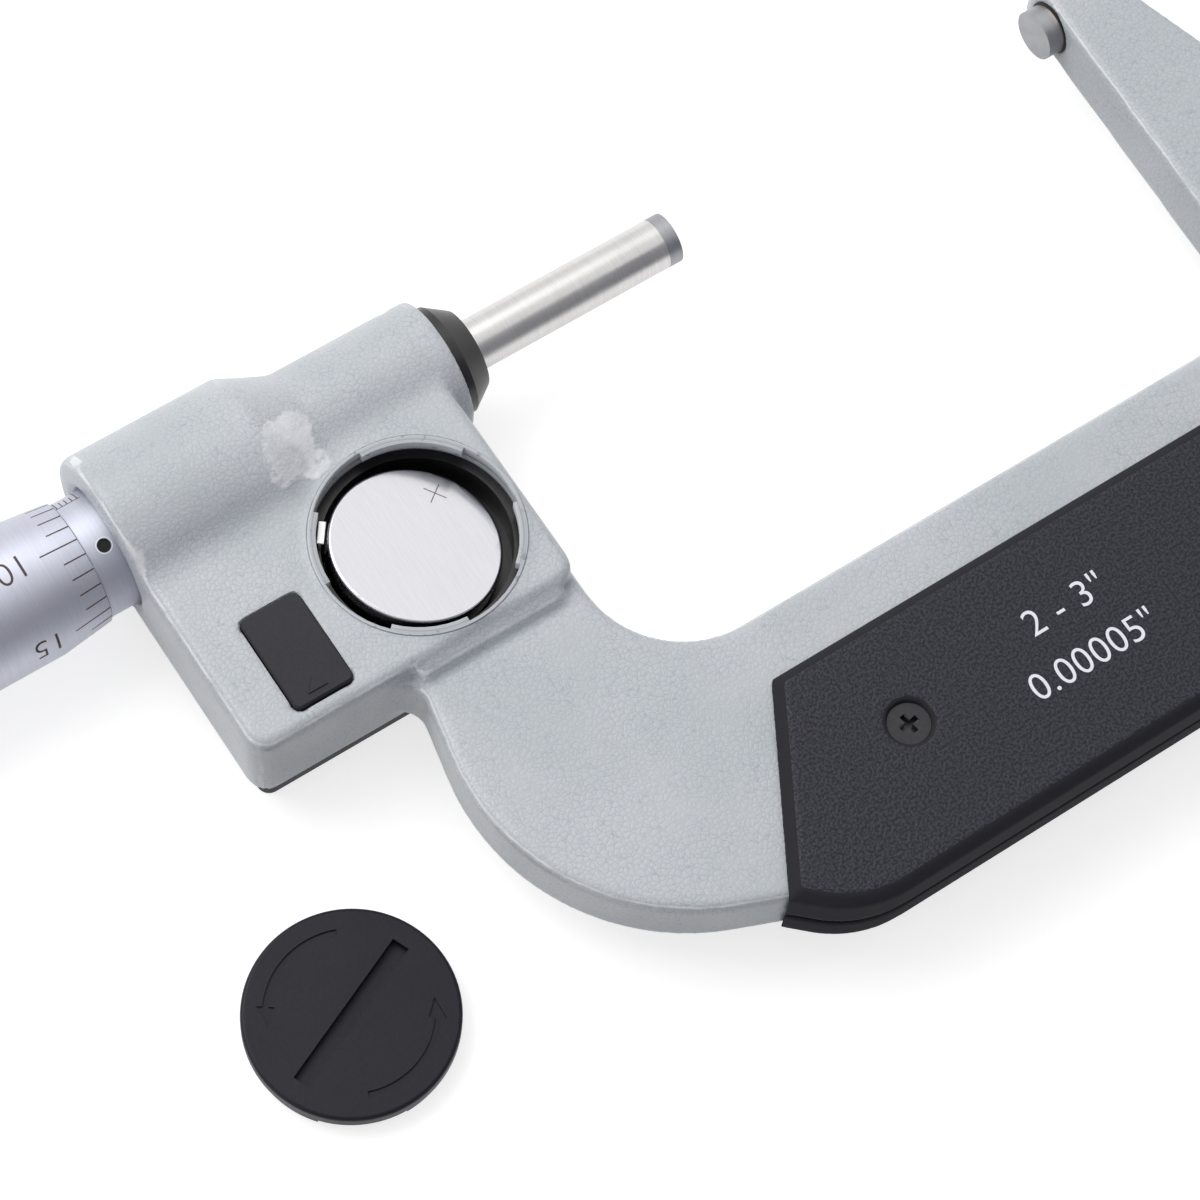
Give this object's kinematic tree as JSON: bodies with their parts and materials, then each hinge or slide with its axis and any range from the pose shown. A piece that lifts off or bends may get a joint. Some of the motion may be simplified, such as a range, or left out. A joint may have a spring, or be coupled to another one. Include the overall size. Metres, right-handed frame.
{
  "type": "digital outside micrometer",
  "caption": "C-frame outside micrometer with measuring spindle, graduated thimble, electronic display housing and insulating grip plates; its battery cap lies beside it.",
  "frame": {"origin": "centre of the anvil's measuring face", "axes": "+X along the spindle from thimble to anvil, +Y away from the bow, +Z out of the battery side, so it lies on its display cover"},
  "size_m": [0.2122, 0.0942, 0.0225],
  "materials": {
    "enamel": "hammertone enamel",
    "carbide": "lapped carbide",
    "steel": "ground",
    "satin_chrome": "satin",
    "bronze": "turned",
    "black_metal": "black anodised",
    "felt": "felt",
    "charcoal_plastic": "textured",
    "black_plastic": "moulded",
    "rubber": "moulded",
    "circuit_board": "glass epoxy",
    "clear": "clear",
    "display": "liquid crystal",
    "cell": "polished",
    "contact": "plated"
  },
  "bodies": {
    "frame": {"frame": "enamel", "anvil": "steel", "anvil_tip": "carbide", "sleeve_stem": "steel", "outer_sleeve": "satin_chrome", "spindle_nut": "bronze", "adjusting_nut": "steel", "rotor_bush": "bronze", "spindle_bush": "steel", "nose_collar": "black_metal", "nose_wiper": "felt", "lock_pad": "bronze", "encoder_stator": "circuit_board", "stator_spacer": "black_plastic", "front_cover": "charcoal_plastic", "cover_gasket": "rubber", "cover_screws": "steel", "display_window": "clear", "lcd": "display", "main_board": "circuit_board", "button_pad": "rubber", "battery_holder": "black_plastic", "contact_plus": "contact", "contact_minus": "contact", "coin_cell": "cell", "battery_cap": "charcoal_plastic", "cap_seal": "rubber", "data_connector": "black_plastic", "port_board": "circuit_board", "port_header": "black_plastic", "back_plate": "charcoal_plastic", "front_plate": "charcoal_plastic", "back_plate_screws": "black_metal", "front_plate_screws": "black_metal"},
    "rotor": {"rotor_hub": "bronze", "rotor_key": "steel", "encoder_rotor": "circuit_board"},
    "spindle": {"spindle": "steel", "spindle_tip": "carbide", "thimble": "satin_chrome", "ratchet_driver": "steel", "ratchet_screw": "steel"},
    "ratchet": {"ratchet_knob": "satin_chrome", "ratchet_pawl": "steel", "ratchet_spring": "steel"},
    "clamp": {"clamp_lever": "black_metal"},
    "port_plug": {"port_plug": "rubber"},
    "button_1": {"button_1": "rubber"},
    "button_2": {"button_2": "rubber"},
    "button_3": {"button_3": "rubber"}
  },
  "joints": [
    {"name": "thimble_turn", "type": "hinge", "parent": "frame", "child": "rotor", "pos_m": [-0.125, 0, 0], "axis": [1, 0, 0], "range_deg": [-12501.8, 1900.2]},
    {"name": "spindle_feed", "type": "slide", "parent": "rotor", "child": "spindle", "axis": [1, 0, 0], "range_m": [-0.02205, 0.00335]},
    {"name": "ratchet_turn", "type": "hinge", "parent": "spindle", "child": "ratchet", "pos_m": [-0.18, 0, 0], "axis": [1, 0, 0], "continuous": true},
    {"name": "clamp_turn", "type": "hinge", "parent": "frame", "child": "clamp", "pos_m": [-0.0914, -0.0069, -0.006], "axis": [0, 0, 1], "range_deg": [-45, 0]},
    {"name": "port_plug_pull", "type": "slide", "parent": "frame", "child": "port_plug", "axis": [0, 0, 1], "range_m": [0, 0.003]},
    {"name": "button_1_press", "type": "slide", "parent": "frame", "child": "button_1", "axis": [0, 0, 1], "range_m": [0, 0.0005], "stiffness_N_per_m": 400, "springref_m": -0.0005},
    {"name": "button_2_press", "type": "slide", "parent": "frame", "child": "button_2", "axis": [0, 0, 1], "range_m": [0, 0.0005], "stiffness_N_per_m": 400, "springref_m": -0.0005},
    {"name": "button_3_press", "type": "slide", "parent": "frame", "child": "button_3", "axis": [0, 0, 1], "range_m": [0, 0.0005], "stiffness_N_per_m": 400, "springref_m": -0.0005}
  ],
  "couplings": [
    {"joint": "thimble_turn", "follows": "spindle_feed", "rad_per_m": 9894.8}
  ]
}
